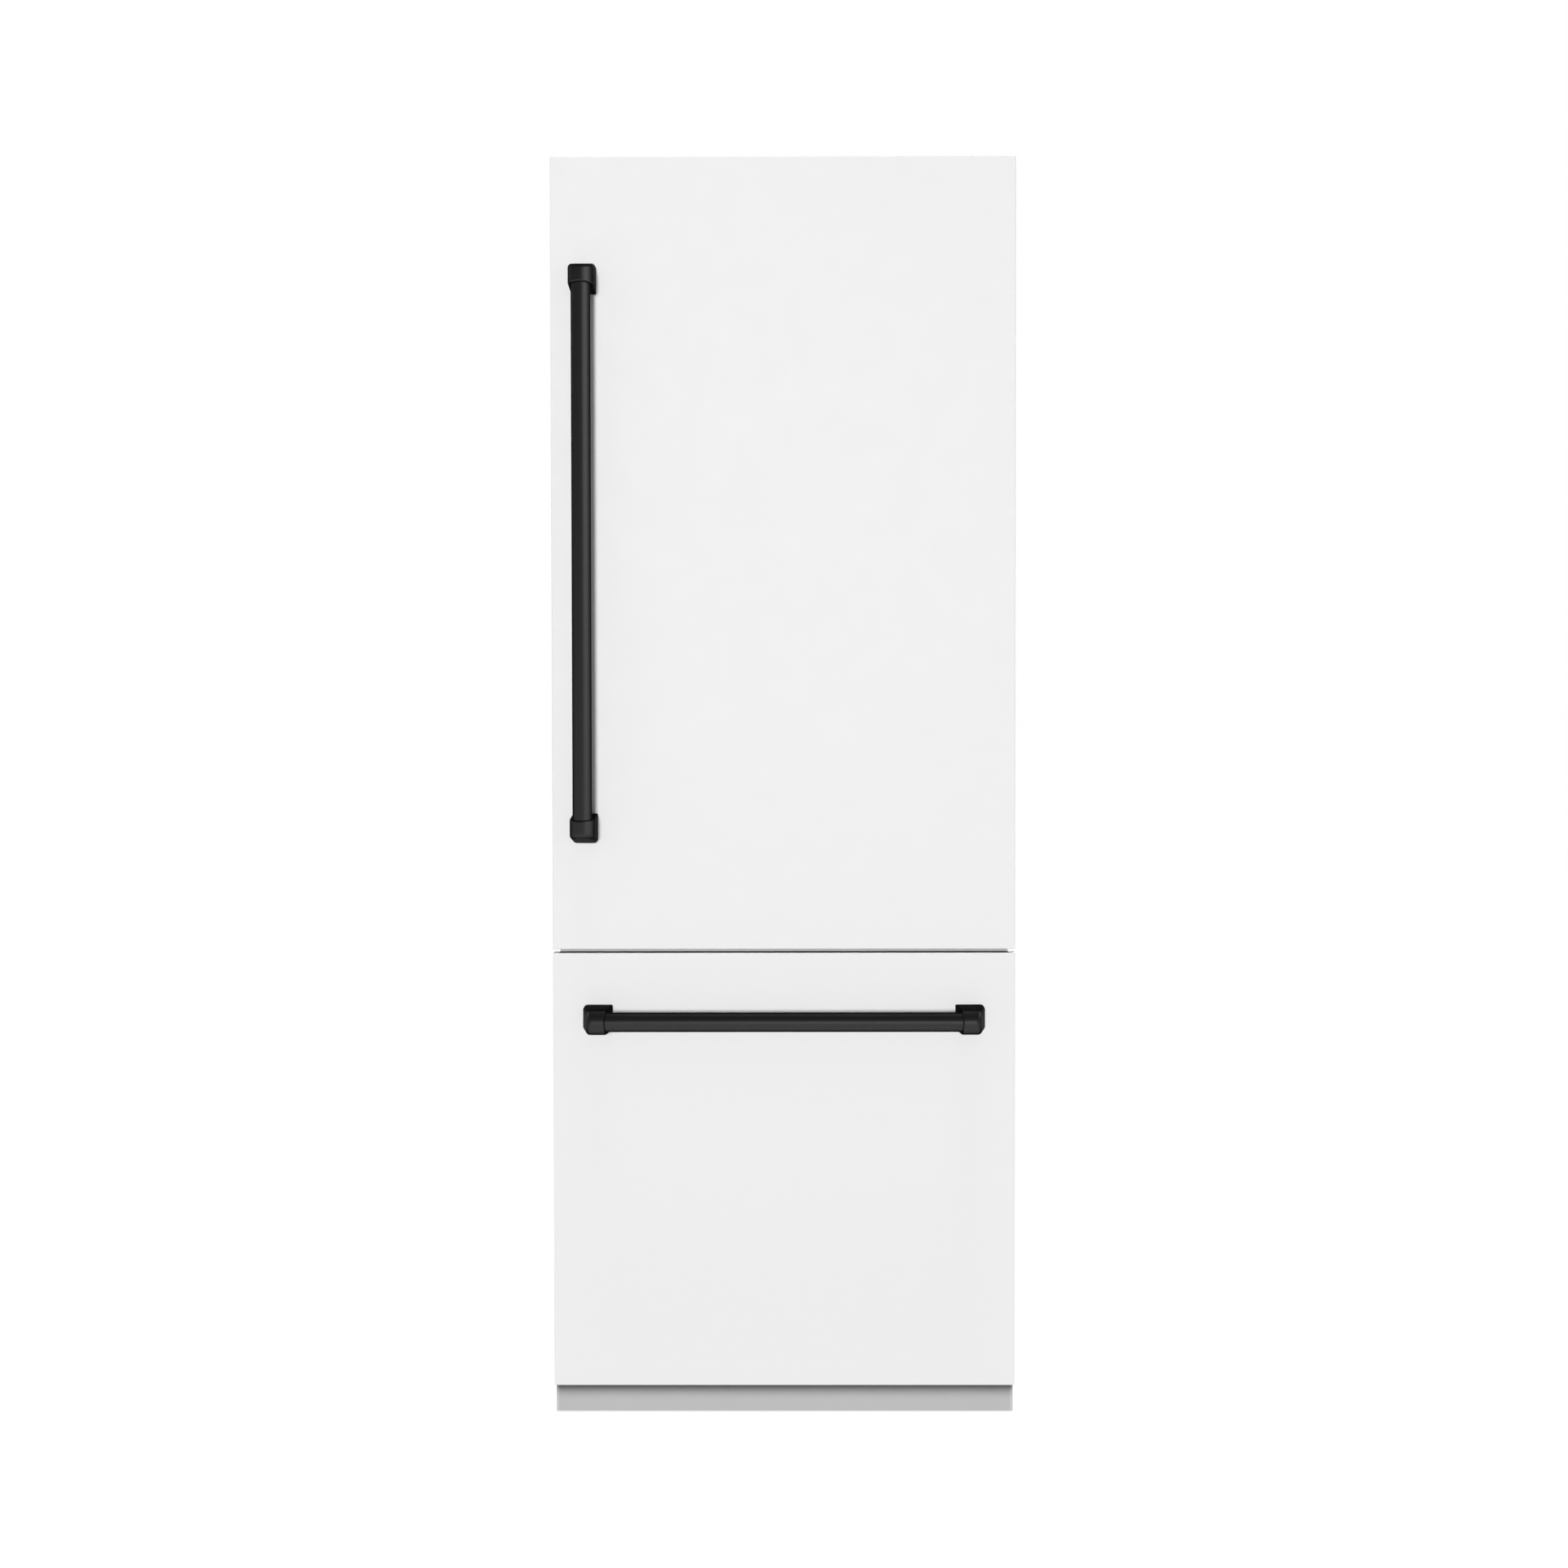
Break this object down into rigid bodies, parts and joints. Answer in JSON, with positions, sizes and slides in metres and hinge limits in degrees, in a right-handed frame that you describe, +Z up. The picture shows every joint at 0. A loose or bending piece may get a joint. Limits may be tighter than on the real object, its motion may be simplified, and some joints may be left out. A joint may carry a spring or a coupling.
{
  "type": "bottom-freezer refrigerator",
  "caption": "Tall built-in refrigerator with one slab door over a pull-out freezer drawer, tubular bar handles, a recessed kick plate and a fitted interior.",
  "frame": {"origin": "on the floor under the centre of the object's bounding box", "axes": "+Z up; -Y is the front, where the door, the drawer and the handles are; +X is to the right of somebody who faces the front"},
  "size_m": [0.75, 0.694, 2.046],
  "materials": {
    "front_white": "matte",
    "handle_black": "satin",
    "kick_grey": "satin",
    "cabinet_grey": "satin",
    "zinc_steel": "satin",
    "foam": "matte",
    "core_grey": "satin",
    "liner_white": "satin",
    "gasket_grey": "matte",
    "clear_plastic": "gloss",
    "shelf_glass": "gloss",
    "duct_grey": "satin",
    "lamp": "satin",
    "fin_aluminium": "satin",
    "compressor_black": "satin",
    "copper": "satin",
    "dark_plastic": "matte",
    "foot_black": "matte"
  },
  "bodies": {
    "cabinet": {"side_panel_left": "cabinet_grey", "side_panel_right": "cabinet_grey", "top_panel": "cabinet_grey", "back_panel": "zinc_steel", "foam_insulation": "foam", "fridge_liner": "liner_white", "freezer_liner": "liner_white", "front_frame": "cabinet_grey", "base_frame": "zinc_steel", "toe_kick": "kick_grey", "foot_front_left": "foot_black", "foot_front_right": "foot_black", "foot_rear_left": "foot_black", "foot_rear_right": "foot_black", "top_hinge_bracket": "zinc_steel", "middle_hinge_bracket": "zinc_steel", "shelf_lower": "shelf_glass", "shelf_middle": "shelf_glass", "shelf_upper": "shelf_glass", "crisper_cover": "shelf_glass", "crisper_left": "clear_plastic", "crisper_right": "clear_plastic", "air_tower": "duct_grey", "ceiling_light": "lamp", "evaporator": "fin_aluminium", "evaporator_cover": "duct_grey", "compressor": "compressor_black", "condenser_coil": "copper", "drain_pan": "dark_plastic", "fan_shroud": "dark_plastic", "power_inlet": "dark_plastic", "rail_outer_left": "zinc_steel", "rail_outer_right": "zinc_steel"},
    "fridge_door": {"door_front": "front_white", "door_core": "core_grey", "door_liner": "liner_white", "door_gasket": "gasket_grey", "door_bin_bottom": "clear_plastic", "door_bin_middle": "clear_plastic", "door_bin_top": "clear_plastic", "door_handle_bar": "handle_black", "door_handle_cap_top": "handle_black", "door_handle_cap_bottom": "handle_black"},
    "freezer_drawer": {"drawer_front": "front_white", "drawer_core": "core_grey", "drawer_liner": "liner_white", "drawer_gasket": "gasket_grey", "drawer_handle_bar": "handle_black", "drawer_handle_cap_left": "handle_black", "drawer_handle_cap_right": "handle_black", "freezer_basket": "clear_plastic", "rail_inner_left": "zinc_steel", "rail_inner_right": "zinc_steel"},
    "freezer_tray": {"freezer_tray": "clear_plastic"},
    "rail_middle_left": {"rail_middle_left": "zinc_steel"},
    "rail_middle_right": {"rail_middle_right": "zinc_steel"},
    "evaporator_fan": {"evaporator_fan": "dark_plastic"},
    "condenser_fan": {"condenser_fan": "dark_plastic"}
  },
  "joints": [
    {"name": "fridge_door_hinge", "type": "hinge", "parent": "cabinet", "child": "fridge_door", "pos_m": [0.352, -0.236, 0.767], "axis": [0, 0, 1], "range_deg": [0, 105]},
    {"name": "freezer_drawer_slide", "type": "slide", "parent": "cabinet", "child": "freezer_drawer", "axis": [0, -1, 0], "range_m": [0, 0.4]},
    {"name": "rail_middle_left_slide", "type": "slide", "parent": "cabinet", "child": "rail_middle_left", "axis": [0, -1, 0], "range_m": [0, 0.2]},
    {"name": "rail_middle_right_slide", "type": "slide", "parent": "cabinet", "child": "rail_middle_right", "axis": [0, -1, 0], "range_m": [0, 0.2]},
    {"name": "freezer_tray_slide", "type": "slide", "parent": "freezer_drawer", "child": "freezer_tray", "axis": [0, 1, 0], "range_m": [0, 0.1]},
    {"name": "evaporator_fan_spin", "type": "hinge", "parent": "cabinet", "child": "evaporator_fan", "pos_m": [0, 0.2245, 0.6], "axis": [0, 1, 0], "continuous": true},
    {"name": "condenser_fan_spin", "type": "hinge", "parent": "cabinet", "child": "condenser_fan", "pos_m": [-0.02, 0.27, 0.112], "axis": [1, 0, 0], "continuous": true}
  ],
  "couplings": [
    {"joint": "rail_middle_left_slide", "follows": "freezer_drawer_slide", "ratio": 0.5},
    {"joint": "rail_middle_right_slide", "follows": "freezer_drawer_slide", "ratio": 0.5}
  ]
}
